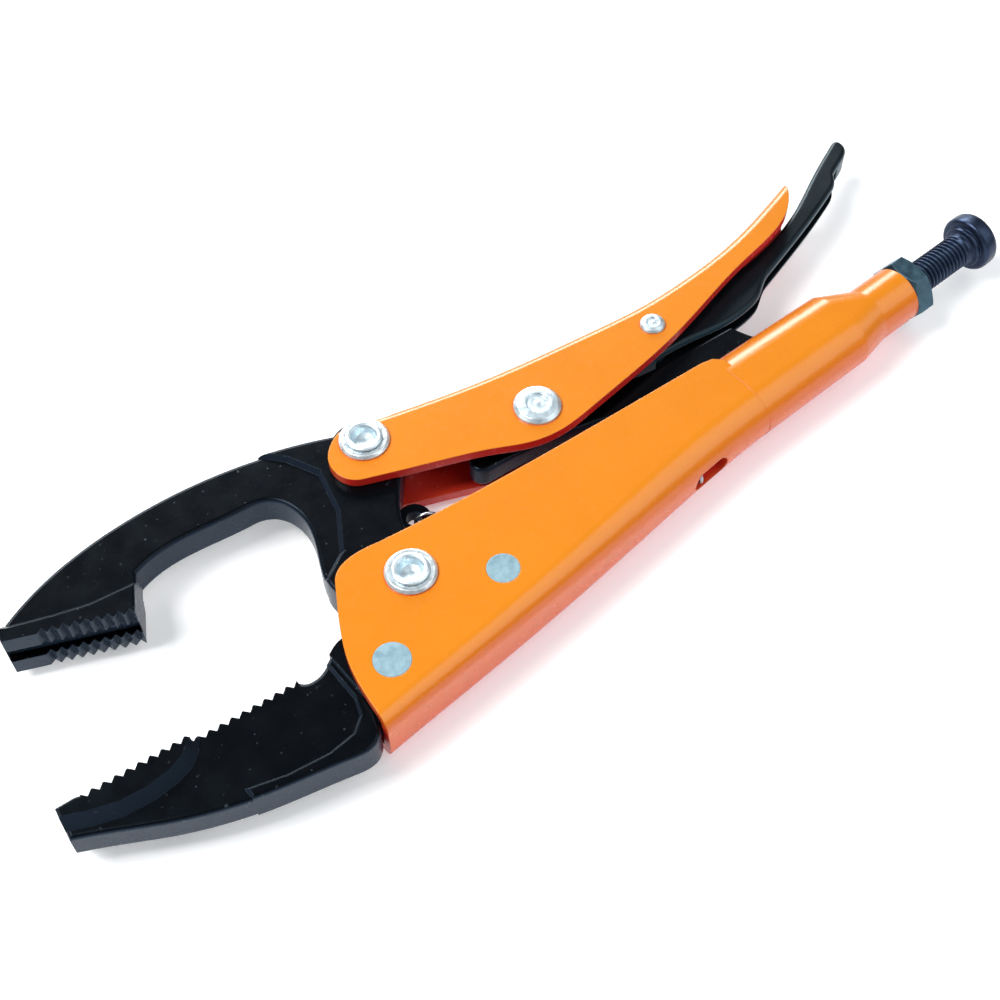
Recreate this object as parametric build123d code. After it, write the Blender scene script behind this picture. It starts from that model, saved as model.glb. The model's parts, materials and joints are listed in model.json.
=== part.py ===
"""Locking C-clamp pliers, 12 inch class, lying on one side.

Every outline is drawn about the main jaw pivot (x to the adjusting screw, y to the hand
lever, z through the thickness, 0 at mid-thickness). place() then moves each piece so that
the origin is the centre of the bounding box, at its bottom. All lengths are millimetres.
"""
import os
from math import cos, radians, sin, sqrt, tan

from build123d import *

# ---- place of the finished tool in its own frame ----
SHIFT = (-51.85, -16.92, 12.0)

# ---- pivots, about the main jaw pivot ----
JAW_PIVOT = (0.0, 0.0)
LEVER_PIVOT = (16.4, 41.3)
LINK_PIVOT = (59.6, 19.7)
TRIGGER_PIVOT = (103.7, 20.7)
SCREW_Y = -11.8

# ---- pressed steel channels ----
SHEET = 3.0
FOLD_R = 2.6
CHANNEL_HALF = 9.75
ROLL_HALF = 8.7
INNER_HALF = CHANNEL_HALF - SHEET
SLOT_HALF = 4.6
FIT = 0.06
THROUGH = 15.0

# ---- forged jaws ----
HUB_HALF = 6.5
ARM_HALF = 5.0
BLADE_HALF = 4.6
RIB_HALF = 5.4
TANG_HALF = 6.7
PAD_HALF = 8.0
PAD_SLOPE = 38.0
FORGED_R = 1.1
PAD_R = 0.7
TOOTH_DEPTH = 1.3
UPPER_TEETH = 9
LOWER_TEETH = 19
GROOVE_HALF = 2.6

# ---- link and trigger ----
LINK_HALF = 3.5
LINK_HUB_R = 7.2
LINK_NOSE = (39.3, 19.0)
LINK_NOSE_R = 3.6
TRIGGER_HALF = 4.0
TRIGGER_POCKET_HALF = 2.2
TRIGGER_FOLD_R = 1.2
TRIGGER_HUB_R = 4.6

# ---- rivets: x, y and radius for the flush ones ----
PIVOT_R = 4.0
LINK_RIVET_R = 3.6
TRIGGER_RIVET_R = 2.2
FRONT_RIVET = (-19.2, -16.9, 4.9)
REAR_RIVET = (18.8, -14.3, 4.4)
WASHER_GAP = 0.1

# ---- screw and nut ----
THREAD_R = 5.0
PITCH = 1.5
THREAD_DEPTH = 0.92
THREAD_TURNS = 41
SCREW_TIP_X = 133.1
NECK_R = 4.2
TUBE_START_X = 158.9
TUBE_END_X = 172.7
TUBE_R = 8.5
NUT_AF = 17.0
NUT_LENGTH = 6.0
NUT_SLOPE = 0.9
HEAD_X = 203.0
HEAD_R = 8.6
HEAD_LENGTH = 5.5
COLLAR_R = 6.3
COLLAR_LENGTH = 1.3
SOCKET_AF = 6.0
SOCKET_DEPTH = 4.5

# ---- return spring ----
SPRING_EYE = (13.8, 16.8)
SPRING_ANCHOR = (81.6, -20.6)
SPRING_R = 3.6
WIRE_R = 0.6
COIL_START = 15.0
COIL_END_GAP = 9.0
EYE_R = 2.2
EYE_OUTER_R = 4.7
EYE_HALF = 2.0
HOOK_R = 3.1
ANCHOR_RING_R = 2.3
LANCE_X = (82.2, 88.8)
LANCE_HALF = 3.1
TONGUE_HALF = 1.0

# ---- body stations: x, spine height, half width and bend radius of the outer skin ----
CHANNEL_STATIONS = [
    (-40.0, -30.9, CHANNEL_HALF, 4.6),
    (5.0, -28.7, CHANNEL_HALF, 5.4),
    (57.0, -25.5, 9.4, 7.4),
    (87.0, -23.3, 8.9, 8.5),
    (111.0, -22.38, 8.58, 8.4),
]
# ---- rolled rear of the body: x, bottom and top ----
ROLL_STATIONS = [(109.0, -22.5, 3.4), (125.0, -22.4, 3.0), (149.0, -22.3, 2.2)]


# ---------------------------------------------------------------- helpers
def place(solid):
    """Move a piece from the pivot-centred drawing frame to the part's frame."""
    return Pos(*SHIFT) * solid


def save(name, solid):
    """Write one piece as its own STEP file."""
    export_step(place(solid), f"parts/{name}.step")


def plate(face, half):
    """A flat outline made into a plate that is centred on mid-thickness."""
    return extrude(face, amount=half, both=True)


def rounded(solid, half, radius, curves):
    """Round a plate's rim edges, both faces, where they follow some of its outline curves."""
    rims = []
    for edge in solid.edges():
        middle = edge @ 0.5
        spot = Vertex(middle.X, middle.Y, 0)
        if abs(abs(middle.Z) - half) < 0.01 and any(c.distance_to(spot) < 0.05 for c in curves):
            rims.append(edge)
    return fillet(rims, radius)


def rounded_plate(face, half, radius):
    """A plate with every rim edge rounded."""
    return rounded(plate(face, half), half, radius, face.edges())


def polygon(*points):
    """A flat face with straight sides."""
    return make_face(Polyline(*points, close=True))


def outline_of(*curves):
    """A flat face bounded by curves that follow each other."""
    return make_face([edge for curve in curves for edge in curve.edges()])


def pin(centre, radius, half=THROUGH):
    """A round bar or drill across the thickness."""
    return Pos(centre[0], centre[1], 0) * Cylinder(radius, 2 * half)


def along_x(x0, x1, y, radius):
    """A round bar along the tool, from x0 to x1."""
    middle = Pos((x0 + x1) / 2, y, 0)
    return middle * Rot(0, 90, 0) * Cylinder(radius, x1 - x0)


def turned(centre, profile, mirrored=False):
    """A body of revolution about a pivot. The profile is (radius, z) points."""
    flip = -1 if mirrored else 1
    points = [(r, flip * z) for r, z in profile]
    section = Plane.XZ * polygon(*points)
    return Pos(centre[0], centre[1], 0) * revolve(section, Axis.Z)


def turned_along_x(profile):
    """A body of revolution about the screw's axis. The profile is (x, radius) points."""
    return Pos(0, SCREW_Y, 0) * revolve(polygon(*profile), Axis.X)


def polar(centre, radius, degrees):
    """A point on a circle."""
    angle = radians(degrees)
    return (centre[0] + radius * cos(angle), centre[1] + radius * sin(angle))


def arc_about(centre, radius, start, end):
    """An arc about a centre, from one angle to another in degrees."""
    angles = (start, (start + end) / 2, end)
    return ThreePointArc(*[polar(centre, radius, angle) for angle in angles])


def teeth(start, end, count):
    """V notches along a straight tooth line. Metal is to the right of start to end."""
    length = sqrt((end[0] - start[0]) ** 2 + (end[1] - start[1]) ** 2)
    along = ((end[0] - start[0]) / length, (end[1] - start[1]) / length)
    outward = (-along[1], along[0])
    pitch = length / count
    rise = 0.2
    lap = 0.02
    notches = []
    for index in range(count):
        s0 = index * pitch
        corners = [(s0 - lap, rise), (s0 + pitch / 2, -TOOTH_DEPTH), (s0 + pitch + lap, rise)]
        points = [
            (start[0] + along[0] * s + outward[0] * h, start[1] + along[1] * s + outward[1] * h)
            for s, h in corners
        ]
        notches.append(plate(polygon(*points), PAD_HALF + 1))
    return Compound(children=notches)


def tooth_land(start, end, inward, half):
    """A square-edged strip behind a tooth line, so that the teeth have crisp ends."""
    far_end = (end[0] + inward[0], end[1] + inward[1])
    far_start = (start[0] + inward[0], start[1] + inward[1])
    return plate(polygon(start, end, far_end, far_start), half)


def tapered_pad(corners, low, high):
    """A pad raised on both faces from half thickness low to high, with sloping sides."""
    base = polygon(*corners)
    inset = (high - low) * tan(radians(PAD_SLOPE))
    top = offset(base, amount=-inset, kind=Kind.INTERSECTION)
    upper = loft([Pos(0, 0, low) * base, Pos(0, 0, high) * top], ruled=True)
    return plate(base, low) + upper + mirror(upper, about=Plane.XY)


# ---------------------------------------------------------------- body channel
def station_plane(x):
    """A plane across the tool, with local x up the flanges and local y through them."""
    return Plane(origin=(x, 0, 0), x_dir=(0, 1, 0), z_dir=(1, 0, 0))


def u_section(x, spine_y, half, bend, top_y=30.0):
    """Closed outline of a channel's outer or inner skin at one station along the tool."""
    inset = bend * (1 - sqrt(0.5))
    low = spine_y + bend
    flat = half - bend
    edges = [
        Line((top_y, half), (low, half)),
        ThreePointArc((low, half), (spine_y + inset, half - inset), (spine_y, flat)),
        Line((spine_y, flat), (spine_y, -flat)),
        ThreePointArc((spine_y, -flat), (spine_y + inset, inset - half), (low, -half)),
        Line((low, -half), (top_y, -half)),
        Line((top_y, -half), (top_y, half)),
    ]
    return station_plane(x) * make_face(edges)


def roll_section(x, bottom, top, half):
    """Closed oval outline of the rolled rear of the body at one station."""
    low = bottom + half
    high = top - half
    edges = [
        ThreePointArc((low, half), (bottom, 0), (low, -half)),
        Line((low, -half), (high, -half)),
        ThreePointArc((high, -half), (top, 0), (high, half)),
        Line((high, half), (low, half)),
    ]
    return station_plane(x) * make_face(edges)


def body_outline():
    """Side view of the flanges: front edge, rounded shoulder and long top edge."""
    front = Spline((-31.4, -34), (-30.4, -22.5), (-27.9, -10.5), (-22.9, 0), (-16.8, 9.9))
    shoulder = Spline((-16.8, 9.9), (-14, 12.6), (-9.5, 13.8), (-0.4, 12.7))
    top = Spline((-0.4, 12.7), (29.6, 8.5), (69.7, 4.8), (105, 2.1))
    end = Polyline((105, 2.1), (108.6, 1.2), (111, -1.2), (111, -40), (-31.4, -40), (-31.4, -34))
    return outline_of(front, shoulder, top, end)


def front_channel():
    """The open front of the body: a spine and two flanges."""
    outer = loft([u_section(*station) for station in CHANNEL_STATIONS])
    inner = loft([
        u_section(x, spine + SHEET, half - SHEET, bend - SHEET)
        for x, spine, half, bend in CHANNEL_STATIONS
    ])
    return (outer - inner) & plate(body_outline(), THROUGH)


def rolled_rear():
    """The closed rear of the body: an oval tube that narrows to a round threaded end."""
    roll = loft([roll_section(x, low, high, ROLL_HALF) for x, low, high in ROLL_STATIONS])
    cavity = loft([
        roll_section(x, low + SHEET, high - SHEET, ROLL_HALF - SHEET)
        for x, low, high in ROLL_STATIONS
    ])
    last_x, last_low, last_high = ROLL_STATIONS[-1]
    tube_low = SCREW_Y - TUBE_R
    tube_high = SCREW_Y + TUBE_R + 0.02
    neck = loft([
        roll_section(last_x, last_low, last_high, ROLL_HALF),
        roll_section(TUBE_START_X + 0.1, tube_low, tube_high, TUBE_R),
    ])
    tube = along_x(TUBE_START_X, TUBE_END_X, SCREW_Y, TUBE_R)
    bore = along_x(140, TUBE_END_X + 1, SCREW_Y, THREAD_R + FIT)
    slot_start, slot_end, slot_height = 99, 137, 24
    slot = Pos((slot_start + slot_end) / 2, 0, 0) * Box(
        slot_end - slot_start, slot_height, 2 * SLOT_HALF
    )
    slot += Pos(slot_end, 0, 0) * Rot(90, 0, 0) * Cylinder(SLOT_HALF, slot_height)
    return roll + neck + tube - cavity - bore - slot


def lance_cut():
    """The round-ended window in the spine that the spring tongue is bent up from."""
    start, end = LANCE_X
    spine_y, depth = -24, 8
    cut = Pos((start + end) / 2, spine_y, 0) * Box(end - start, depth, 2 * LANCE_HALF)
    for x in LANCE_X:
        cut += Pos(x, spine_y, 0) * Rot(90, 0, 0) * Cylinder(LANCE_HALF, depth)
    return cut


def body_channel():
    """Pressed handle: channel in front, rolled tube behind, rivet holes and spring tongue."""
    body = front_channel() + rolled_rear()
    body -= pin(JAW_PIVOT, PIVOT_R + FIT)
    body -= pin(FRONT_RIVET[:2], FRONT_RIVET[2])
    body -= pin(REAR_RIVET[:2], REAR_RIVET[2])
    tongue = polygon(
        (75, -23.5), (79, -23.0), (86.8, -18.6), (86, -17.2), (78.6, -21.4), (75, -21.9)
    )
    return body - lance_cut() + plate(tongue, TONGUE_HALF)


# ---------------------------------------------------------------- jaws
def movable_jaw_outline(rear_tooth, front_tooth):
    """Side view of the swinging jaw, from the tip over the bow to the hub and back."""
    ear_r = 9.93
    hub_r = 14.04
    bow = Spline(
        (-87, 57.2), (-69.6, 62.7), (-49.4, 64.6), (-29.2, 63.2), (-3.8, 57.0),
        polar(LEVER_PIVOT, ear_r, 116),
    )
    ear = arc_about(LEVER_PIVOT, ear_r, 116, -20)
    back = Spline(
        polar(LEVER_PIVOT, ear_r, -20), (19.6, 29.4), (13.0, 21.8), polar(JAW_PIVOT, hub_r, 55)
    )
    hub = arc_about(JAW_PIVOT, hub_r, 55, -180)
    front = Spline(
        polar(JAW_PIVOT, hub_r, -180), (-16.6, 7), (-17.1, 13), (-14.0, 21.7), (-9.6, 34.5),
        (-11.6, 43), (-19, 47),
    )
    throat = Spline((-19, 47), (-33, 49.3), (-44.4, 50.3), (-52.8, 48.8))
    tip = Polyline((-52.8, 48.8), rear_tooth, front_tooth, (-90.2, 54.2), (-87, 57.2))
    return outline_of(bow, ear, back, hub, front, throat, tip)


def movable_jaw():
    """Upper jaw forging: broad toothed tip, thinner bow, thick hub and the spring eye."""
    rear_tooth = (-60.0, 37.0)
    front_tooth = (-90.5, 51.4)
    last_tooth = (-82.6, 47.67)
    outline = movable_jaw_outline(rear_tooth, front_tooth)
    boss = [
        (-9, 60), (-2.5, 52), (1.5, 43), (-2, 30), (-9, 19), (-26, 10), (-26, -17), (34, -17),
        (34, 60),
    ]
    pad = [
        (-95, 62), (-86, 55.8), (-76, 51.6), (-67, 48.4), (-54.5, 46.2), (-46, 30), (-95, 30),
    ]
    jaw = rounded_plate(outline, ARM_HALF, FORGED_R)
    jaw += tapered_pad(boss, ARM_HALF, HUB_HALF) & rounded_plate(outline, HUB_HALF, FORGED_R)
    jaw += tapered_pad(pad, ARM_HALF, PAD_HALF) & rounded_plate(outline, PAD_HALF, PAD_R)
    jaw += tooth_land(rear_tooth, front_tooth, (0.64, 1.35), PAD_HALF)
    jaw -= teeth(rear_tooth, last_tooth, UPPER_TEETH)
    groove = polygon(rear_tooth, front_tooth, (-89.5, 53.6), (-59, 39.2))
    jaw -= plate(groove, GROOVE_HALF)
    web = polygon((4, 8), (14, 12.2), (17, 20.5), (8, 22))
    jaw += pin(SPRING_EYE, EYE_OUTER_R, EYE_HALF) + plate(web, EYE_HALF)
    jaw -= pin(SPRING_EYE, EYE_R)
    return jaw - pin(JAW_PIVOT, PIVOT_R + FIT) - pin(LEVER_PIVOT, PIVOT_R + FIT)


def fixed_jaw_outline(front_tooth, rear_tooth):
    """Side view of the fixed jaw, from the tip under the blade to the tang and back."""
    hollow_r = 15.6
    lower = Spline(
        (-104.8, -3.3), (-94.2, -9.2), (-83.9, -15.2), (-63.3, -23.9), (-42.6, -29.6),
        (-35.5, -30.6), (-32, -28.4),
    )
    tang = Polyline(
        (-32, -28.4), (-30.3, -25), (4, -22.7), (27.5, -21.3), (30, -19), (30, -12), (26, -9.5),
        polar(JAW_PIVOT, hollow_r, -30),
    )
    hollow = arc_about(JAW_PIVOT, hollow_r, -30, -162)
    rise = Spline(
        polar(JAW_PIVOT, hollow_r, -162), (-19.5, -3.6), (-25.4, -2.6), (-29.5, -4.2),
        (-34.6, -6.3), (-38.4, -5.6), rear_tooth,
    )
    land = Polyline(rear_tooth, front_tooth, (-98.4, 3.4), (-103.5, 3.9), (-104.8, -3.3))
    return outline_of(lower, tang, hollow, rise, land)


def fixed_jaw():
    """Lower jaw forging: broad toothed tip, slim blade and a tang inside the channel."""
    front_tooth = (-97.2, 2.9)
    rear_tooth = (-39.5, -3.9)
    outline = fixed_jaw_outline(front_tooth, rear_tooth)
    pad = [
        (-114, 12), (-114, 2.4), (-106, -0.4), (-99, -4.0), (-92, -6.8), (-84, -8.1),
        (-77, -7.9), (-72.5, -6.7), (-69.2, -4.6), (-67.0, -1.6), (-66, 2), (-66, 12),
    ]
    rib = [
        (-66, -19.6), (-56, -23), (-45, -25), (-37.5, -24.6), (-33.4, -21.8), (-31.6, -17),
        (-31.2, 0), (40, 10), (40, -40), (-66, -40),
    ]
    tang = polygon((-29.5, 10), (-29.5, -40), (40, -40), (40, 10))
    pad_end = (-68.8, -0.447)
    inward = (-0.17, -1.49)
    whole = rounded_plate(outline, PAD_HALF, PAD_R)
    jaw = rounded_plate(outline, BLADE_HALF, FORGED_R)
    jaw += tapered_pad(pad, BLADE_HALF, PAD_HALF) & whole
    jaw += tapered_pad(rib, BLADE_HALF, RIB_HALF) & rounded_plate(outline, RIB_HALF, FORGED_R)
    jaw += plate(tang, TANG_HALF) & whole
    jaw += tooth_land(front_tooth, pad_end, inward, PAD_HALF)
    jaw += tooth_land(pad_end, rear_tooth, inward, BLADE_HALF)
    jaw -= teeth(front_tooth, rear_tooth, LOWER_TEETH)
    return jaw - pin(FRONT_RIVET[:2], FRONT_RIVET[2]) - pin(REAR_RIVET[:2], REAR_RIVET[2])


# ---------------------------------------------------------------- hand lever
def lever_top():
    """Upper edge of the lever in side view, from its tip to the ears."""
    return Spline(
        (172.8, 36.4), (158, 32.6), (141, 29.4), (123.5, 28.3), (106, 28.8), (89, 31.2),
        (71, 34.2), (54, 37.6), (41, 40.9), (29.6, 44.2),
    )


def lever_outline():
    """Side view of the lever's flanges."""
    ear = Spline(
        (29.6, 44.2), (23.5, 44.9), (19.5, 47.3), (14.5, 48.2), (8.5, 46), (4.6, 41.5),
        (4.2, 36.5), (8.4, 31.2),
    )
    under = Spline(
        (8.4, 31.2), (28, 22.6), (41, 16.6), (50.5, 11.6), (58, 9.6), (72, 10.0), (89, 11.6),
        (106, 13.9), (141, 21.4), (166, 28.0), (172.2, 34.0),
    )
    tip = Line((172.2, 34.0), (172.8, 36.4))
    return outline_of(ear, under, tip, lever_top())


def region_below(curve, distance):
    """Everything that is more than a distance below a curve drawn from right to left."""
    steps = [index / 12 for index in range(13)]
    lowered = []
    for step in steps:
        point = curve @ step
        tangent = curve % step
        lowered.append((point.X - tangent.Y * distance, point.Y + tangent.X * distance))
    floor_y = -20
    closing = Polyline(lowered[-1], (lowered[-1][0], floor_y), (lowered[0][0], floor_y), lowered[0])
    return outline_of(Spline(*lowered), closing)


def lever_channel():
    """Pressed lever: a web along the top, a flange on each side, and two ears in front."""
    web_line = Spline(
        (176, 37.4), (158, 32.6), (141, 29.4), (123.5, 28.3), (106, 28.8), (89, 31.2),
        (71, 34.2), (54, 37.6), (41, 40.9), (26, 45.3),
    )
    lever = rounded(plate(lever_outline(), CHANNEL_HALF), CHANNEL_HALF, FOLD_R, [lever_top()])
    lever -= plate(region_below(web_line, SHEET), INNER_HALF)
    lever -= Pos(14, 40, 0) * Box(31.2, 60, 2 * INNER_HALF)
    lever -= pin(LEVER_PIVOT, PIVOT_R + FIT)
    return lever - pin(LINK_PIVOT, LINK_RIVET_R) - pin(TRIGGER_PIVOT, TRIGGER_RIVET_R)


def toggle_link():
    """Forged link: rounded nose, hub on its rivet, and a heel that pushes on the screw tip."""
    nose_top = polar(LINK_NOSE, LINK_NOSE_R, 100)
    nose_low = polar(LINK_NOSE, LINK_NOSE_R, 262)
    nose = arc_about(LINK_NOSE, LINK_NOSE_R, 262, 100)
    top = Spline(
        nose_top, (48, 25.2), (56, 28.0), (64, 27.4), (74, 20.8), (88, 14.2), (97, 12.3),
        (108, 11.0), (124.6, 9.3),
    )
    rear = Spline((124.6, 9.3), (125.4, 6.5), (127.6, 1.5), (130.2, -4.5))
    heel = Spline((130.2, -4.5), (131.2, -9.5), (130.6, -14.2), (127.0, -16.4))
    under = Spline(
        (127.0, -16.4), (117, -12.5), (98, -3.0), (78, 6.2), (60, 11.9), (50, 14.0), nose_low
    )
    link = rounded_plate(outline_of(nose, top, rear, heel, under), LINK_HALF, FORGED_R)
    link += pin(LINK_PIVOT, LINK_HUB_R, HUB_HALF)
    return link - pin(LINK_PIVOT, LINK_RIVET_R + FIT)


def release_trigger():
    """Release trigger: a narrow channel with a pressing nose, a waist and a finger tail."""
    nose = Spline((93.5, 15.0), (90.5, 17.5), (91.5, 21.5), (97, 24.6), (103.7, 25.6))
    top = Spline(
        (103.7, 25.6), (118, 24.0), (135, 23.2), (152, 24.3), (172, 29.6), (186.5, 36.2),
        (198.4, 41.2), (202.0, 42.6),
    )
    end = Spline((202.0, 42.6), (203.9, 42.0), (204.0, 39.2), (200.4, 36.0), (192, 32.2))
    step = Spline((192, 32.2), (190.5, 30.4), (187, 28.4))
    tail = Spline((187, 28.4), (172, 23.4), (156, 18.9), (148.5, 16.9))
    waist = Spline(
        (148.5, 16.9), (143.5, 14.8), (139, 12.2), (133, 10.9), (124, 10.9), (112, 13.1),
        (103, 14.2), (93.5, 15.0),
    )
    trigger = plate(outline_of(nose, top, end, step, tail, waist), TRIGGER_HALF)
    trigger = rounded(trigger, TRIGGER_HALF, TRIGGER_FOLD_R, [top, end])
    pocket_roof = Spline(
        (100, 20), (118, 21.2), (135, 20.9), (152, 21.9), (172, 27.2), (186.5, 33.6), (196, 37.6)
    )
    pocket_sides = Polyline((196, 37.6), (196, 5), (100, 5), (100, 20))
    trigger -= plate(outline_of(pocket_roof, pocket_sides), TRIGGER_POCKET_HALF)
    trigger += pin(TRIGGER_PIVOT, TRIGGER_HUB_R, HUB_HALF)
    return trigger - pin(TRIGGER_PIVOT, TRIGGER_RIVET_R + FIT)


# ---------------------------------------------------------------- rivets and washers
def pivot_rivet(centre):
    """Semi-tubular pivot rivet with a rolled head at each end."""
    head = [
        (0, 0), (PIVOT_R, 0), (PIVOT_R, 11.0), (4.7, 11.0), (5.0, 11.3), (4.9, 11.75),
        (4.3, 12.0), (3.6, 11.8), (3.1, 11.0), (2.6, 9.6), (0.9, 9.2), (0, 9.15),
    ]
    return turned(centre, head) + turned(centre, head, mirrored=True)


def cup_washer(centre, mirrored):
    """Domed washer under a pivot rivet's rolled head."""
    low = CHANNEL_HALF + WASHER_GAP
    bore_r = PIVOT_R + FIT
    section = [
        (bore_r, low), (6.9, low), (6.95, low + 0.4), (6.3, low + 1.1), (5.4, low + 1.1),
        (4.6, low + 0.9), (bore_r, low + 0.9),
    ]
    return turned(centre, section, mirrored)


def solid_rivet(centre, shank, head_r, height):
    """Solid rivet with a shallow domed and ringed head at each end."""
    seat = CHANNEL_HALF
    crown = seat + height
    dish = crown - 0.3 * height
    head = [
        (0, 0), (shank, 0), (shank, seat), (head_r, seat), (head_r, seat + 0.35 * height),
        (0.86 * head_r, seat + 0.8 * height), (0.62 * head_r, crown), (0.5 * head_r, crown),
        (0.42 * head_r, dish), (0.16 * head_r, dish), (0, crown - 0.15 * height),
    ]
    return turned(centre, head) + turned(centre, head, mirrored=True)


def flush_rivet(place_and_radius):
    """Plain rivet that ends level with the flanges."""
    x, y, radius = place_and_radius
    return pin((x, y), radius, CHANNEL_HALF)


# ---------------------------------------------------------------- screw group
def hexagon(across_flats):
    """A hexagon with two flats square to the thickness."""
    return RegularPolygon(across_flats / sqrt(3), 6, rotation=30)


def adjusting_screw():
    """Adjusting screw: grooved stand-in for the thread, collar, round head, hex socket."""
    root_r = THREAD_R - THREAD_DEPTH
    groove_end = SCREW_TIP_X + 4.0
    profile = [
        (SCREW_TIP_X, 0), (SCREW_TIP_X, NECK_R - 0.8), (SCREW_TIP_X + 0.8, NECK_R),
        (groove_end, NECK_R),
    ]
    for turn in range(THREAD_TURNS):
        x = groove_end + 0.8 + turn * PITCH
        profile += [(x, THREAD_R), (x + 0.3, THREAD_R), (x + 0.9, root_r), (x + 1.1, root_r)]
    collar_x = HEAD_X - COLLAR_LENGTH
    end_x = HEAD_X + HEAD_LENGTH
    profile += [
        (collar_x - 1.1, THREAD_R), (collar_x - 0.3, THREAD_R), (collar_x, COLLAR_R),
        (HEAD_X, COLLAR_R), (HEAD_X, HEAD_R - 1.0), (HEAD_X + 1.0, HEAD_R),
        (end_x - 1.3, HEAD_R), (end_x, HEAD_R - 1.2), (end_x, 0),
    ]
    end = Plane(origin=(end_x, SCREW_Y, 0), z_dir=(1, 0, 0))
    socket = extrude(end * hexagon(SOCKET_AF), amount=-SOCKET_DEPTH)
    return turned_along_x(profile) - socket


def screw_stop_ring():
    """Snap ring in the groove behind the screw tip."""
    start = SCREW_TIP_X + 2.0
    end = start + 1.2
    ring = along_x(start, end, SCREW_Y, THREAD_R + 0.5)
    ring -= along_x(start - 1, end + 1, SCREW_Y, NECK_R + FIT)
    gap = Pos((start + end) / 2, SCREW_Y + THREAD_R, 0) * Box(4, 6, 2.4)
    return ring - gap


def lock_nut():
    """Hexagonal lock nut with both faces chamfered."""
    start = TUBE_END_X + 0.1
    end = start + NUT_LENGTH
    blank = extrude(Plane(origin=(start, SCREW_Y, 0), z_dir=(1, 0, 0)) * hexagon(NUT_AF), NUT_LENGTH)
    corner_r = NUT_AF / sqrt(3) + 0.2
    face_r = NUT_AF / 2 - 0.1
    barrel = turned_along_x([
        (start, 0), (start, face_r), (start + NUT_SLOPE, corner_r), (end - NUT_SLOPE, corner_r),
        (end, face_r), (end, 0),
    ])
    return (blank & barrel) - along_x(start - 1, end + 1, SCREW_Y, THREAD_R + FIT)


# ---------------------------------------------------------------- return spring
def spring_direction():
    """Unit direction and length of the spring's axis, from the jaw's eye to the tongue."""
    dx = SPRING_ANCHOR[0] - SPRING_EYE[0]
    dy = SPRING_ANCHOR[1] - SPRING_EYE[1]
    length = sqrt(dx * dx + dy * dy)
    return dx / length, dy / length, length


def spring_point(distance, side=0.0):
    """A point on the spring's axis, or beside it, measured from the jaw's eye."""
    ux, uy, _ = spring_direction()
    return (
        SPRING_EYE[0] + ux * distance - uy * side,
        SPRING_EYE[1] + uy * distance + ux * side,
    )


def spring_frame(distance):
    """A plane square to the spring's axis."""
    ux, uy, _ = spring_direction()
    return Plane(origin=(*spring_point(distance), 0), x_dir=(-uy, ux, 0), z_dir=(ux, uy, 0))


def tension_spring():
    """Envelope of the close-wound coil, with its rear hook round the body's tongue."""
    coil_length = spring_direction()[2] - COIL_START - COIL_END_GAP
    coil = Cylinder(SPRING_R, coil_length) - Cylinder(SPRING_R - 2 * WIRE_R, coil_length)
    coil = spring_frame(COIL_START + coil_length / 2) * coil
    ring = Pos(*SPRING_ANCHOR, 0) * Rot(0, 90, 0) * Torus(ANCHOR_RING_R, WIRE_R)
    start = spring_point(COIL_START + coil_length - 0.4, SPRING_R - WIRE_R)
    leg = Line(start, (SPRING_ANCHOR[0], SPRING_ANCHOR[1] + ANCHOR_RING_R))
    wire = sweep(Plane(origin=leg @ 0, z_dir=leg % 0) * Circle(WIRE_R), path=leg)
    return coil + wire + ring


def spring_front_hook():
    """Front end of the spring wire: a loop through the jaw's eye and a straight shank."""
    middle = (EYE_R + EYE_OUTER_R) / 2
    loop = spring_frame(middle) * Rot(90, 0, 0) * Rot(0, 90, 0) * Torus(HOOK_R, WIRE_R)
    shank_start = middle + HOOK_R
    shank_length = COIL_START + 3 - shank_start
    shank = spring_frame(shank_start + shank_length / 2) * Cylinder(WIRE_R, shank_length)
    return loop + shank


PIECES = {
    "body_channel": body_channel,
    "fixed_jaw": fixed_jaw,
    "fixed_jaw_rivet_front": lambda: flush_rivet(FRONT_RIVET),
    "fixed_jaw_rivet_rear": lambda: flush_rivet(REAR_RIVET),
    "movable_jaw": movable_jaw,
    "jaw_pivot_rivet": lambda: pivot_rivet(JAW_PIVOT),
    "jaw_rivet_washer_near": lambda: cup_washer(JAW_PIVOT, False),
    "jaw_rivet_washer_far": lambda: cup_washer(JAW_PIVOT, True),
    "lever_channel": lever_channel,
    "lever_pivot_rivet": lambda: pivot_rivet(LEVER_PIVOT),
    "lever_rivet_washer_near": lambda: cup_washer(LEVER_PIVOT, False),
    "lever_rivet_washer_far": lambda: cup_washer(LEVER_PIVOT, True),
    "toggle_link": toggle_link,
    "link_pivot_rivet": lambda: solid_rivet(LINK_PIVOT, LINK_RIVET_R, 6.6, 1.9),
    "release_trigger": release_trigger,
    "trigger_pivot_rivet": lambda: solid_rivet(TRIGGER_PIVOT, TRIGGER_RIVET_R, 3.6, 1.3),
    "adjusting_screw": adjusting_screw,
    "screw_stop_ring": screw_stop_ring,
    "lock_nut": lock_nut,
    "tension_spring": tension_spring,
    "spring_front_hook": spring_front_hook,
}

os.makedirs("parts", exist_ok=True)
for name, make in PIECES.items():
    save(name, make())
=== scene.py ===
"""Looks of the locking C-clamp pliers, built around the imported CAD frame.

Blender works in metres in the row frame. The shapes made here are drawn in millimetres about the
main jaw pivot, as the CAD source draws them, and at() takes them into the row frame.
"""

import json
import math

import bpy
from mathutils import Matrix, Vector


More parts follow.
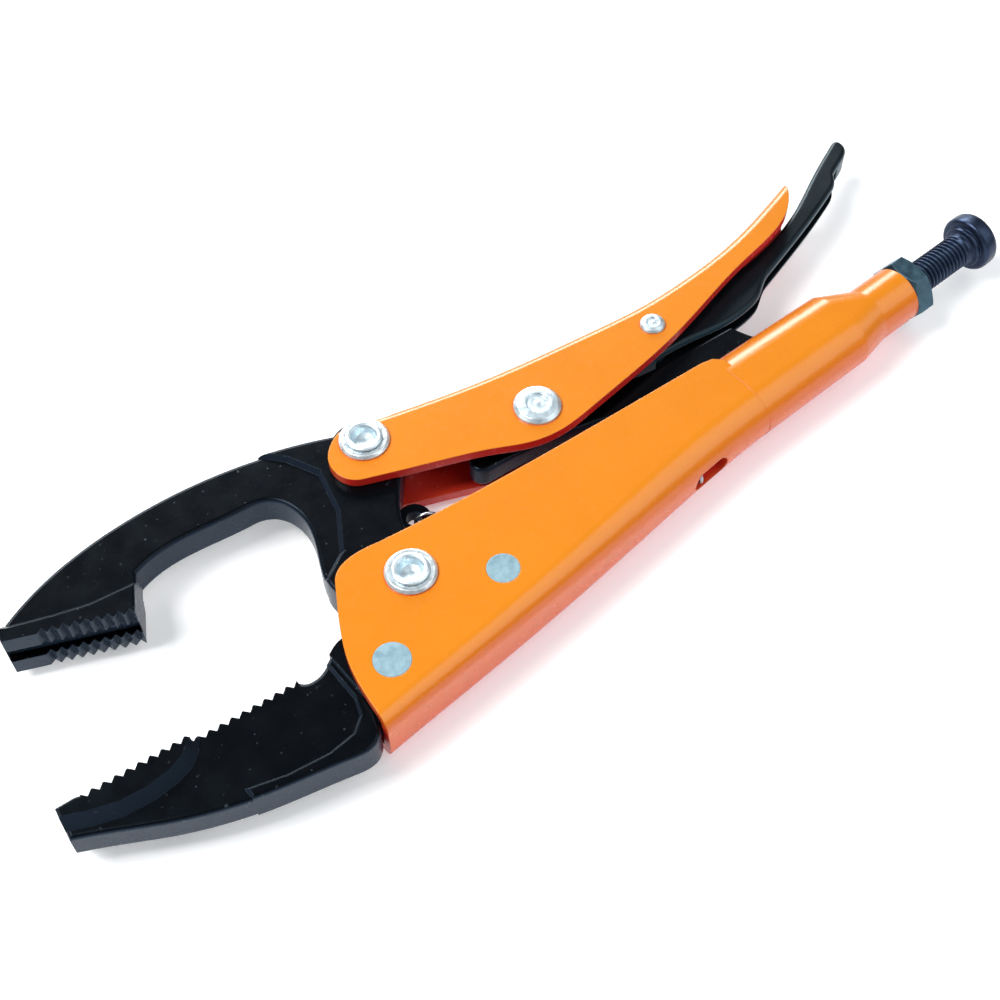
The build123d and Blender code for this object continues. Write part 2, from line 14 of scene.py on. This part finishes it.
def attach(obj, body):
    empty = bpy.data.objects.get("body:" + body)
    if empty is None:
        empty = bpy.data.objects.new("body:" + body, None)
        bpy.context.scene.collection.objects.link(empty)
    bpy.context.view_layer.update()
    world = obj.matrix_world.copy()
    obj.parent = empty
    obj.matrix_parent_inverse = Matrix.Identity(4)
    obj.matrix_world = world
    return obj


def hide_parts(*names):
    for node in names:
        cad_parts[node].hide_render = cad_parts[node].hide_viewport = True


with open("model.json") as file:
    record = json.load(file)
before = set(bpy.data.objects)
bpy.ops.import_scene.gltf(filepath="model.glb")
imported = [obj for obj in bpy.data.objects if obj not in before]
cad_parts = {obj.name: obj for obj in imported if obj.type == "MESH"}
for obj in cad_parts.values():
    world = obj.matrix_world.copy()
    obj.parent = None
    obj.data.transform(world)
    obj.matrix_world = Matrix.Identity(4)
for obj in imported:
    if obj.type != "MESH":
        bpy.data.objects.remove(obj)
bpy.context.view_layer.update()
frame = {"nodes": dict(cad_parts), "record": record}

MM = 0.001
SHIFT = Vector((-51.85, -16.92, 12.0))


def at(x, y, z):
    """A point of the drawing frame in the row frame, in metres."""
    return (Vector((x, y, z)) + SHIFT) * MM


def new_object(name, data):
    """An object in the scene."""
    thing = bpy.data.objects.new(name, data)
    bpy.context.scene.collection.objects.link(thing)
    return thing


# ---------------------------------------------------------------- camera, floor and lights
# The camera's place and axes in the drawing frame, and its lens and sensor in millimetres
CAMERA_PLACE = (-118.96, -182.81, 357.0)
CAMERA_RIGHT = (0.76614, -0.64259, -0.01030)
CAMERA_UP = (0.53402, 0.62761, 0.56650)
CAMERA_AHEAD = (0.35756, 0.43952, -0.82400)
LENS, SENSOR = 57.6, 36.0

# The floor's half side and how far it lies under the tool, in metres
FLOOR_REACH, FLOOR_DROP = 3.0, 0.0002


def make_camera():
    """The camera, which looks down at the tool over its jaws."""
    data = bpy.data.cameras.new("camera")
    data.lens = LENS
    data.sensor_width = SENSOR
    data.clip_start = 0.01
    data.clip_end = 20.0
    camera = new_object("camera", data)
    axes = Matrix((CAMERA_RIGHT, CAMERA_UP, -Vector(CAMERA_AHEAD))).transposed()
    camera.matrix_world = Matrix.Translation(at(*CAMERA_PLACE)) @ axes.to_4x4()
    bpy.context.scene.camera = camera


def area_light(name, place, size, power):
    """A rectangular light aimed at the origin. Place and size in metres, power in watts."""
    data = bpy.data.lights.new(name, "AREA")
    data.shape = "RECTANGLE"
    data.size, data.size_y = size
    data.energy = power
    lamp = new_object(name, data)
    lamp.location = place
    lamp.rotation_mode = "QUATERNION"
    lamp.rotation_quaternion = (-Vector(place)).to_track_quat("-Z", "Y")
    return lamp


def make_lights():
    """Key, fill and back light, and a panel that shows only in reflections."""
    area_light("key", (-0.62, 0.36, 1.05), (0.6, 0.6), 17)
    area_light("fill", (0.55, -0.65, 0.95), (1.2, 1.2), 8)
    area_light("back_strip", (0.52, 1.25, 0.50), (1.5, 0.22), 8)
    sheen = area_light("sheen_panel", (0.38, 1.20, 0.80), (1.5, 0.42), 27)
    sheen.visible_diffuse = False


def make_floor():
    """A plain pale sheet that glows a little, so that it stays pale in the shadows."""
    mesh = bpy.data.meshes.new("floor")
    corners = [(-1, -1), (1, -1), (1, 1), (-1, 1)]
    mesh.from_pydata([(x * FLOOR_REACH, y * FLOOR_REACH, 0) for x, y in corners], [], [(0, 1, 2, 3)])
    floor = new_object("floor", mesh)
    floor.location.z = -FLOOR_DROP
    material, _, shader = new_material("floor_paper")
    set_constants(shader, {
        "Base Color": (0.90, 0.90, 0.90, 1),
        "Roughness": 0.9,
        "Specular IOR Level": 0.1,
        "Emission Color": (0.94, 0.97, 1.0, 1),
        "Emission Strength": 0.30,
    })
    mesh.materials.append(material)


def make_world():
    """Faint cool light from all round, and colours shown as they are."""
    world = bpy.data.worlds.new("world")
    world.use_nodes = True
    background = world.node_tree.nodes["Background"]
    background.inputs["Color"].default_value = (0.84, 0.92, 1.0, 1)
    background.inputs["Strength"].default_value = 0.22
    bpy.context.scene.world = world
    bpy.context.scene.view_settings.view_transform = "Standard"


# ---------------------------------------------------------------- material helpers
# Rays that look for edges, for rounding them and for close walls
MASK_SAMPLES, ROUNDING_SAMPLES, CREVICE_SAMPLES = 4, 6, 6

# The colour sockets of a Mix node, by number, because its sockets share their names
MIX_FACTOR, MIX_A, MIX_B, MIX_RESULT = 0, 6, 7, 2


def new_material(name):
    """A new material, its node tree and its Principled shader."""
    material = bpy.data.materials.new(name)
    material.use_nodes = True
    tree = material.node_tree
    return material, tree, tree.nodes["Principled BSDF"]


def set_constants(shader, constants):
    """Values that are the same all over the surface, on the shader's own sockets."""
    for socket, value in constants.items():
        shader.inputs[socket].default_value = value


def noise(tree, scale, detail, rough=0.5):
    """Noise in object space, scale in features per metre."""
    coords = tree.nodes.new("ShaderNodeTexCoord")
    texture = tree.nodes.new("ShaderNodeTexNoise")
    texture.inputs["Scale"].default_value = scale
    texture.inputs["Detail"].default_value = detail
    texture.inputs["Roughness"].default_value = rough
    tree.links.new(coords.outputs["Object"], texture.inputs["Vector"])
    return texture.outputs["Fac"]


def ramp(tree, value, low, high, start=0.3, end=0.7):
    """The colour low where the value is under start, high where it is over end."""
    node = tree.nodes.new("ShaderNodeValToRGB")
    for element, place, color in zip(node.color_ramp.elements, (start, end), (low, high)):
        element.position = place
        element.color = (*color, 1)
    tree.links.new(value, node.inputs["Fac"])
    return node.outputs["Color"]


def grey_ramp(tree, value, low, high, start=0.3, end=0.7):
    """A ramp between two greys, for roughness and for masks."""
    return ramp(tree, value, (low, low, low), (high, high, high), start, end)


def spread(tree, value, start, end, smooth=False):
    """From 0 where the value is start to 1 where it is end."""
    node = tree.nodes.new("ShaderNodeMapRange")
    if smooth:
        node.interpolation_type = "SMOOTHSTEP"
    node.inputs["From Min"].default_value = start
    node.inputs["From Max"].default_value = end
    tree.links.new(value, node.inputs["Value"])
    return node.outputs["Result"]


def calculate(tree, operation, *values):
    """A Math node. Each value is a number or a socket."""
    node = tree.nodes.new("ShaderNodeMath")
    node.operation = operation
    for socket, value in zip(node.inputs, values):
        if isinstance(value, float):
            socket.default_value = value
        else:
            tree.links.new(value, socket)
    return node.outputs["Value"]


def times(tree, a, b):
    """The product of two values, such as a mask and its strength."""
    return calculate(tree, "MULTIPLY", a, b)


def mix_color(tree, factor, a, b):
    """From a where the factor is 0 to b where it is 1. Each is a colour or a socket."""
    node = tree.nodes.new("ShaderNodeMix")
    node.data_type = "RGBA"
    for socket, value in ((MIX_A, a), (MIX_B, b)):
        if isinstance(value, tuple):
            node.inputs[socket].default_value = (*value, 1)
        else:
            tree.links.new(value, node.inputs[socket])
    tree.links.new(factor, node.inputs[MIX_FACTOR])
    return node.outputs[MIX_RESULT]


def rounded_normal(tree, radius, samples):
    """The surface's normal with the edges rounded, radius in metres."""
    node = tree.nodes.new("ShaderNodeBevel")
    node.inputs["Radius"].default_value = radius
    node.samples = samples
    return node.outputs["Normal"]


def set_skin(tree, shader, height, strength, distance, edge_radius):
    """Fine bumps on the surface, over edges rounded by edge_radius metres."""
    node = tree.nodes.new("ShaderNodeBump")
    node.inputs["Strength"].default_value = strength
    node.inputs["Distance"].default_value = distance
    tree.links.new(height, node.inputs["Height"])
    tree.links.new(rounded_normal(tree, edge_radius, ROUNDING_SAMPLES), node.inputs["Normal"])
    tree.links.new(node.outputs["Normal"], shader.inputs["Normal"])


def edge_mask(tree, radius, start=0.02, end=0.35):
    """Near 1 at edges: how far the rounded normal leans from the true one."""
    geometry = tree.nodes.new("ShaderNodeNewGeometry")
    dot = tree.nodes.new("ShaderNodeVectorMath")
    dot.operation = "DOT_PRODUCT"
    tree.links.new(rounded_normal(tree, radius, MASK_SAMPLES), dot.inputs[0])
    tree.links.new(geometry.outputs["Normal"], dot.inputs[1])
    return spread(tree, calculate(tree, "SUBTRACT", 1.0, dot.outputs["Value"]), start, end)


def crevice_shade(tree, reach):
    """Near 1 where other walls stand close by, within reach metres; it places painted shade in crevices.
    """
    occlusion = tree.nodes.new("ShaderNodeAmbientOcclusion")
    occlusion.samples = CREVICE_SAMPLES
    occlusion.inputs["Distance"].default_value = reach
    return spread(tree, occlusion.outputs["AO"], 0.85, 0.35)


def specks(tree, density, size):
    """Round dots, density in cells per metre and size as a share of a cell."""
    coords = tree.nodes.new("ShaderNodeTexCoord")
    cells = tree.nodes.new("ShaderNodeTexVoronoi")
    cells.inputs["Scale"].default_value = density
    tree.links.new(coords.outputs["Object"], cells.inputs["Vector"])
    return calculate(tree, "LESS_THAN", cells.outputs["Distance"], size)


def normal_along(tree, axis):
    """How far the surface looks along X, Y or Z of the object, from -1 to 1."""
    coords = tree.nodes.new("ShaderNodeTexCoord")
    split = tree.nodes.new("ShaderNodeSeparateXYZ")
    tree.links.new(coords.outputs["Normal"], split.inputs["Vector"])
    return split.outputs[axis]


def facing_down(tree):
    """Near 1 on faces that look towards -Y, such as the cut edges of the lever's flanges."""
    return spread(tree, normal_along(tree, "Y"), -0.2, -0.6)


def upright(tree):
    """From 0 on the broad faces to 1 on the bends and sheet edges."""
    return spread(tree, calculate(tree, "ABSOLUTE", normal_along(tree, "Z")), 0.95, 0.25, smooth=True)


# ---------------------------------------------------------------- materials
def orange_paint(name, red_shaded_edges):
    """Gloss powder coat: slight orange peel and faint cloudiness, with painted shade that makes bends
    deeper orange and crevices redder, red painted shade on the faces towards -Y when asked, and a painted
    highlight of lighter orange along the edges.
    """
    material, tree, shader = new_material(name)
    flat = ramp(tree, noise(tree, 55.0, 4.0), (0.71, 0.215, 0.004), (0.74, 0.228, 0.005))
    # Painted shade: bends and sheet edges turn a deeper orange, as if they were in shade.
    body = mix_color(tree, upright(tree), flat, (0.74, 0.130, 0.004))
    if red_shaded_edges:
        # Painted shade: faces towards -Y, such as the flanges' cut edges, turn red as if they were in
        # shade.
        body = mix_color(tree, facing_down(tree), body, (0.92, 0.030, 0.020))
    # Painted shade: dark red where close walls would shade the surface.
    base = mix_color(tree, crevice_shade(tree, 0.026), body, (0.68, 0.030, 0.020))
    # Painted highlight: a lighter orange along the edges.
    edge_highlight = times(tree, edge_mask(tree, 0.0005), 0.2)
    tree.links.new(mix_color(tree, edge_highlight, base, (0.92, 0.42, 0.10)), shader.inputs["Base Color"])
    gloss = grey_ramp(tree, noise(tree, 400.0, 2.0), 0.24, 0.28)
    tree.links.new(gloss, shader.inputs["Roughness"])
    set_skin(tree, shader, noise(tree, 260.0, 1.0), 0.03, 0.0002, 0.0005)
    set_constants(shader, {"Specular IOR Level": 0.38, "Coat Weight": 0.25, "Coat Roughness": 0.14})
    return material


def black_forging():
    """Gloss black enamel on a forging: uneven skin, scuffed edges and specks of dust, with a painted
    bluish reflection on its side faces.
    """
    material, tree, shader = new_material("black_forging")
    scuffs = grey_ramp(tree, noise(tree, 420.0, 5.0, 0.7), 0, 1, 0.56, 0.66)
    # Here the edge mask is real scuffing on the edges.
    edge_wear_and_highlight = times(tree, times(tree, edge_mask(tree, 0.0004, 0.05, 0.4), scuffs), 0.5)
    patches = grey_ramp(tree, noise(tree, 90.0, 3.0), 0, 1, 0.45, 0.62)
    chips = grey_ramp(tree, noise(tree, 700.0, 4.0, 0.7), 0, 1, 0.5, 0.6)
    dust = times(tree, times(tree, specks(tree, 420.0, 0.16), patches), chips)
    # Painted reflection: bends and side faces turn bluish grey.
    enamel_and_side_sheen = mix_color(tree, upright(tree), (0.0010, 0.0010, 0.0014), (0.020, 0.032, 0.052))
    base = mix_color(tree, times(tree, dust, 0.4), enamel_and_side_sheen, (0.20, 0.25, 0.28))
    tree.links.new(mix_color(tree, edge_wear_and_highlight, base, (0.20, 0.24, 0.28)), shader.inputs["Base Color"])
    gloss = grey_ramp(tree, noise(tree, 160.0, 4.0), 0.24, 0.31)
    tree.links.new(gloss, shader.inputs["Roughness"])
    set_skin(tree, shader, noise(tree, 300.0, 5.0, 0.6), 0.16, 0.0003, 0.0003)
    set_constants(shader, {
        "Specular IOR Level": 0.13,
        "Specular Tint": (0.50, 0.74, 1.0, 1),
        "Coat Weight": 0.04,
        "Coat Roughness": 0.12,
    })
    return material


def black_pressing():
    """Satin black of the release trigger, with a painted bluish reflection on its bends and edges."""
    material, tree, shader = new_material("black_pressing")
    cloud = noise(tree, 150.0, 4.0)
    satin = ramp(tree, cloud, (0.0015, 0.002, 0.003), (0.003, 0.004, 0.006))
    # Painted reflection: bends and edges turn bluish.
    color = mix_color(tree, upright(tree), satin, (0.018, 0.050, 0.072))
    tree.links.new(color, shader.inputs["Base Color"])
    tree.links.new(grey_ramp(tree, cloud, 0.3, 0.42), shader.inputs["Roughness"])
    set_skin(tree, shader, noise(tree, 1200.0, 3.0), 0.12, 0.0002, 0.0005)
    set_constants(shader, {
        "Specular IOR Level": 0.26,
        "Specular Tint": (0.50, 0.84, 1.0, 1),
        "Coat Weight": 0.08,
        "Coat Roughness": 0.25,
    })
    return material


def zinc(name, tint, rough):
    """Bright zinc plate with fine handling marks."""
    material, tree, shader = new_material(name)
    cloud = noise(tree, 600.0, 4.0)
    dull = tuple(part * 0.82 for part in tint)
    tree.links.new(ramp(tree, cloud, dull, tint), shader.inputs["Base Color"])
    tree.links.new(grey_ramp(tree, cloud, rough, rough + 0.12), shader.inputs["Roughness"])
    set_skin(tree, shader, noise(tree, 1500.0, 4.0), 0.2, 0.0002, 0.0003)
    set_constants(shader, {"Metallic": 0.75})
    return material


def black_oxide(name, low, high):
    """Oiled black oxide, with a painted bluish highlight on its edges."""
    material, tree, shader = new_material(name)
    cloud = noise(tree, 350.0, 4.0)
    # Painted highlight: every edge turns steel blue.
    edge_wear_and_highlight = times(tree, edge_mask(tree, 0.0004, 0.05, 0.5), 0.6)
    color = mix_color(tree, edge_wear_and_highlight, ramp(tree, cloud, low, high), (0.16, 0.28, 0.38))
    tree.links.new(color, shader.inputs["Base Color"])
    tree.links.new(grey_ramp(tree, cloud, 0.28, 0.42), shader.inputs["Roughness"])
    set_skin(tree, shader, noise(tree, 1400.0, 3.0), 0.15, 0.0002, 0.0003)
    set_constants(shader, {"Metallic": 0.85})
    return material


def flush_zinc():
    """Dull zinc on the ends of the flush rivets."""
    material, tree, shader = new_material("flush_rivet")
    cloud = noise(tree, 450.0, 5.0, 0.6)
    color = ramp(tree, cloud, (0.19, 0.32, 0.38), (0.27, 0.41, 0.47))
    tree.links.new(color, shader.inputs["Base Color"])
    tree.links.new(grey_ramp(tree, cloud, 0.4, 0.55), shader.inputs["Roughness"])
    set_skin(tree, shader, noise(tree, 1300.0, 4.0), 0.25, 0.0002, 0.0003)
    set_constants(shader, {"Metallic": 0.35})
    return material


def spring_steel():
    """Oiled spring wire."""
    material, tree, shader = new_material("spring_steel")
    cloud = noise(tree, 500.0, 3.0)
    color = ramp(tree, cloud, (0.30, 0.31, 0.33), (0.46, 0.47, 0.50))
    tree.links.new(color, shader.inputs["Base Color"])
    tree.links.new(grey_ramp(tree, cloud, 0.25, 0.4), shader.inputs["Roughness"])
    set_constants(shader, {"Metallic": 1.0})
    return material


make_camera()
make_floor()
make_world()
make_lights()

# The material of each slot of the record, and three that differ from their slot's
MATERIALS = {
    "orange_paint": orange_paint("orange_paint", red_shaded_edges=False),
    "black_forging": black_forging(),
    "black_pressing": black_pressing(),
    "zinc_rivet": zinc("zinc_rivet", (0.70, 0.82, 0.88), 0.28),
    "zinc_washer": zinc("zinc_washer", (0.84, 0.92, 0.95), 0.24),
    "black_oxide_screw": black_oxide("black_oxide_screw", (0.018, 0.028, 0.058), (0.032, 0.050, 0.092)),
    "spring_steel": spring_steel(),
}
FLUSH = flush_zinc()
LEVER_PAINT = orange_paint("orange_lever_paint", red_shaded_edges=True)
NUT_OXIDE = black_oxide("black_oxide_nut", (0.045, 0.090, 0.125), (0.070, 0.140, 0.185))


def paint_nodes():
    """Give every CAD node its material."""
    slots = {row["node"]: row["material_slot"] for row in frame["record"]["subparts"]}
    for name, node in frame["nodes"].items():
        material = MATERIALS[slots[name]]
        if name.startswith("fixed_jaw_rivet"):
            material = FLUSH
        if name == "lever_channel":
            material = LEVER_PAINT
        if name == "lock_nut":
            material = NUT_OXIDE
        for slot in node.material_slots:
            slot.material = material


# ---------------------------------------------------------------- mesh helpers
def add_mesh(name, points, faces, slot, body, smooth_angle):
    """A piece from points of the drawing frame, smooth up to smooth_angle degrees."""
    mesh = bpy.data.meshes.new(name)
    mesh.from_pydata([tuple(at(*point)) for point in points], [], faces)
    mesh.validate()
    mesh.update()
    piece = new_object(name, mesh)
    mesh.materials.append(MATERIALS[slot])
    mesh.shade_smooth()
    mesh.set_sharp_from_angle(angle=math.radians(smooth_angle))
    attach(piece, body)
    return piece


def grid_faces(rings, around):
    """Quads between rings of points, and a cap on each end."""
    faces = []
    for i in range(rings - 1):
        here, ahead = i * around, (i + 1) * around
        for j in range(around):
            k = (j + 1) % around
            faces.append((here + j, here + k, ahead + k, ahead + j))
    last = (rings - 1) * around
    faces.append(tuple(range(around - 1, -1, -1)))
    faces.append(tuple(range(last, last + around)))
    return faces


def tube(path, radius, around):
    """Points and faces of a closed round wire along a path."""
    points = []
    side = (path[1] - path[0]).orthogonal()
    for index, here in enumerate(path):
        ahead = path[min(index + 1, len(path) - 1)]
        behind = path[max(index - 1, 0)]
        along = (ahead - behind).normalized()
        side = (side - along * side.dot(along)).normalized()
        other = along.cross(side)
        for step in range(around):
            turn = 2 * math.pi * step / around
            points.append(here + (side * math.cos(turn) + other * math.sin(turn)) * radius)
    return points, grid_faces(len(path), around)


# ---------------------------------------------------------------- adjusting screw
SCREW_Y = -11.8
TIP_X, HEAD_X = 133.1, 203.0
HEX_FLAT, HEX_CHAMFER = 3.0, 0.25

# The thread: its outer radius, depth and pitch, where it runs, and how far it takes to fade out
THREAD_R, THREAD_DEPTH, PITCH = 5.0, 0.92, 1.5
THREAD_FROM, THREAD_TO = TIP_X + 4.2, HEAD_X - 3.0
THREAD_FADE = 1.2
# Its crest, one flank and its root, as shares of the pitch. The other flank is the rest.
CREST, FLANK, ROOT = 0.14, 0.30, 0.26

SCREW_SIDES, RINGS_PER_PITCH = 72, 12
SCREW_SMOOTH = 35


def thread_radius(x, turn):
    """Radius of a right-hand metric thread with flat crests and roots, faded at both ends."""
    phase = (x / PITCH - turn) % 1.0
    if phase < CREST:
        depth = 0.0
    elif phase < CREST + FLANK:
        depth = (phase - CREST) / FLANK
    elif phase < CREST + FLANK + ROOT:
        depth = 1.0
    else:
        depth = (1.0 - phase) / FLANK
    to_end = min(x - THREAD_FROM, THREAD_TO - x)
    return THREAD_R - THREAD_DEPTH * depth * min(1.0, max(0.0, to_end / THREAD_FADE))


def socket_radius(x, turn):
    """Distance from the axis to the side of the hexagon socket, the same at every x."""
    angle = (turn * 6 % 1.0 - 0.5) * math.pi / 3
    return HEX_FLAT / math.cos(angle)


def mouth_radius(x, turn):
    """The socket's chamfered mouth."""
    return socket_radius(x, turn) + HEX_CHAMFER


# Outlines: the distance past the tip or the head's start, and the radius there
TIP_OUTLINE = [
    (0.0, 0.4), (0.0, 3.1), (0.15, 3.35), (0.7, 4.05), (1.0, 4.2), (3.8, 4.2), (4.05, 4.45), (4.2, 4.95),
]
COLLAR_OUTLINE = [
    (-3.0, THREAD_R), (-1.7, THREAD_R), (-1.55, 5.3), (-1.5, 5.9), (-1.35, 6.2), (-1.15, 6.3), (-0.1, 6.3),
]
HEAD_OUTLINE = [
    (0.0, 6.4), (0.0, 7.5), (0.12, 7.95), (0.5, 8.35), (1.0, 8.57), (1.4, 8.6),
    (3.8, 8.6), (4.4, 8.5), (4.95, 8.18), (5.3, 7.75), (5.47, 7.2), (5.5, 6.4), (5.5, 4.2),
]
SOCKET_OUTLINE = [(5.45, mouth_radius), (5.1, socket_radius), (1.1, socket_radius), (1.0, 1.2)]


def screw_rings():
    """Each ring's x and radius, from the tip to the bottom of the socket."""
    rings = [(TIP_X + past, radius) for past, radius in TIP_OUTLINE]
    length = THREAD_TO - THREAD_FROM
    count = int(length / (PITCH / RINGS_PER_PITCH))
    rings += [(THREAD_FROM + length * i / count, thread_radius) for i in range(1, count)]
    back = COLLAR_OUTLINE + HEAD_OUTLINE + SOCKET_OUTLINE
    return rings + [(HEAD_X + past, radius) for past, radius in back]


def make_screw():
    """The screw with a real helical thread, in place of the CAD screw."""
    rings = screw_rings()
    points = []
    for x, radius in rings:
        for j in range(SCREW_SIDES):
            turn = j / SCREW_SIDES
            angle = 2 * math.pi * turn
            r = radius(x, turn) if callable(radius) else radius
            points.append((x, SCREW_Y + r * math.cos(angle), r * math.sin(angle)))
    faces = grid_faces(len(rings), SCREW_SIDES)
    piece = add_mesh(
        "adjusting_screw_threaded", points, faces, "black_oxide_screw", "screw", SCREW_SMOOTH
    )
    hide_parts("adjusting_screw")


# ---------------------------------------------------------------- return spring
# The jaw's eye and the body's tongue, and the directions along and across the spring
EYE = Vector((13.8, 16.8, 0))
ANCHOR = Vector((81.6, -20.6, 0))
SPAN = (ANCHOR - EYE).length
AXIS = (ANCHOR - EYE).normalized()
SIDE = Vector((-AXIS.y, AXIS.x, 0))
THICK = Vector((0, 0, 1))

# The coil, with its gaps to the eye and to the anchor
WIRE_R, COIL_R, COIL_PITCH = 0.6, 3.0, 1.26
EYE_GAP, ANCHOR_GAP = 15.0, 9.0
COIL_FROM, COIL_TO = EYE_GAP + WIRE_R, SPAN - ANCHOR_GAP - WIRE_R
STEPS_PER_TURN = 22

# Its front end, which curls inward: radius, share of a turn, length and how quickly it widens
END_R, END_TURN, END_LENGTH, END_FLARE = 1.3, 0.6, 1.2, 0.6
END_STEPS = 14

# The wire from the coil to the tongue bows out, and its hook goes most of the way round
TAIL_SHARES, TAIL_BOW = (0.15, 0.35, 0.55, 0.75, 0.9), 0.5
HOOK_R, HOOK_TURN, HOOK_DRIFT = 2.3, 0.82, 0.7
HOOK_STEPS = 18

# The front hook's shank, in distances from the eye
SHANK_FROM, SHANK_TO = 10.0, 25.0
SHANK_STEPS = 12

COIL_SIDES, SHANK_SIDES = 8, 12
WIRE_SMOOTH = 40


def wound(distance, angle, radius):
    """A point round the spring's axis, at a distance from the eye."""
    return EYE + AXIS * distance + (SIDE * math.cos(angle) + THICK * math.sin(angle)) * radius


def curled_end():
    """The coil's front end, from the inside out."""
    points = []
    for i in range(END_STEPS):
        share = i / END_STEPS
        angle = 2 * math.pi * END_TURN * (share - 1)
        radius = END_R + (COIL_R - END_R) * share ** END_FLARE
        points.append(wound(COIL_FROM - END_LENGTH * (1 - share), angle, radius))
    return points


def coil_turns():
    """The coil's even turns."""
    turns = round((COIL_TO - COIL_FROM) / COIL_PITCH)
    steps = turns * STEPS_PER_TURN
    pace = (COIL_TO - COIL_FROM) / steps
    return [
        wound(COIL_FROM + pace * i, 2 * math.pi * i / STEPS_PER_TURN, COIL_R) for i in range(steps + 1)
    ]


def tail_and_hook(leave):
    """The wire from where it leaves the coil to the tongue, and the hook there."""
    top = ANCHOR + Vector((0, HOOK_R, 0))
    points = []
    for share in TAIL_SHARES:
        points.append(leave.lerp(top, share) + SIDE * TAIL_BOW * math.sin(math.pi * share))
    for i in range(HOOK_STEPS + 1):
        share = i / HOOK_STEPS
        angle = 2 * math.pi * HOOK_TURN * share
        drift = Vector((HOOK_DRIFT * share, 0, 0))
        points.append(ANCHOR + drift + Vector((0, math.cos(angle), math.sin(angle))) * HOOK_R)
    return points


def make_coil():
    """The wound coil. It stays with the body and does not stretch."""
    path = curled_end() + coil_turns()
    path += tail_and_hook(path[-1])
    points, faces = tube(path, WIRE_R, COIL_SIDES)
    piece = add_mesh("return_spring_coil", points, faces, "spring_steel", "body", WIRE_SMOOTH)
    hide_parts("tension_spring")


def make_shank():
    """The front hook's straight shank, which slides out of the coil when the jaw is adjusted."""
    pace = (SHANK_TO - SHANK_FROM) / SHANK_STEPS
    path = [EYE + AXIS * (SHANK_FROM + pace * i) for i in range(SHANK_STEPS + 1)]
    points, faces = tube(path, WIRE_R, SHANK_SIDES)
    add_mesh("return_spring_shank", points, faces, "spring_steel", "spring_hook", WIRE_SMOOTH)


paint_nodes()
make_screw()
make_coil()
make_shank()
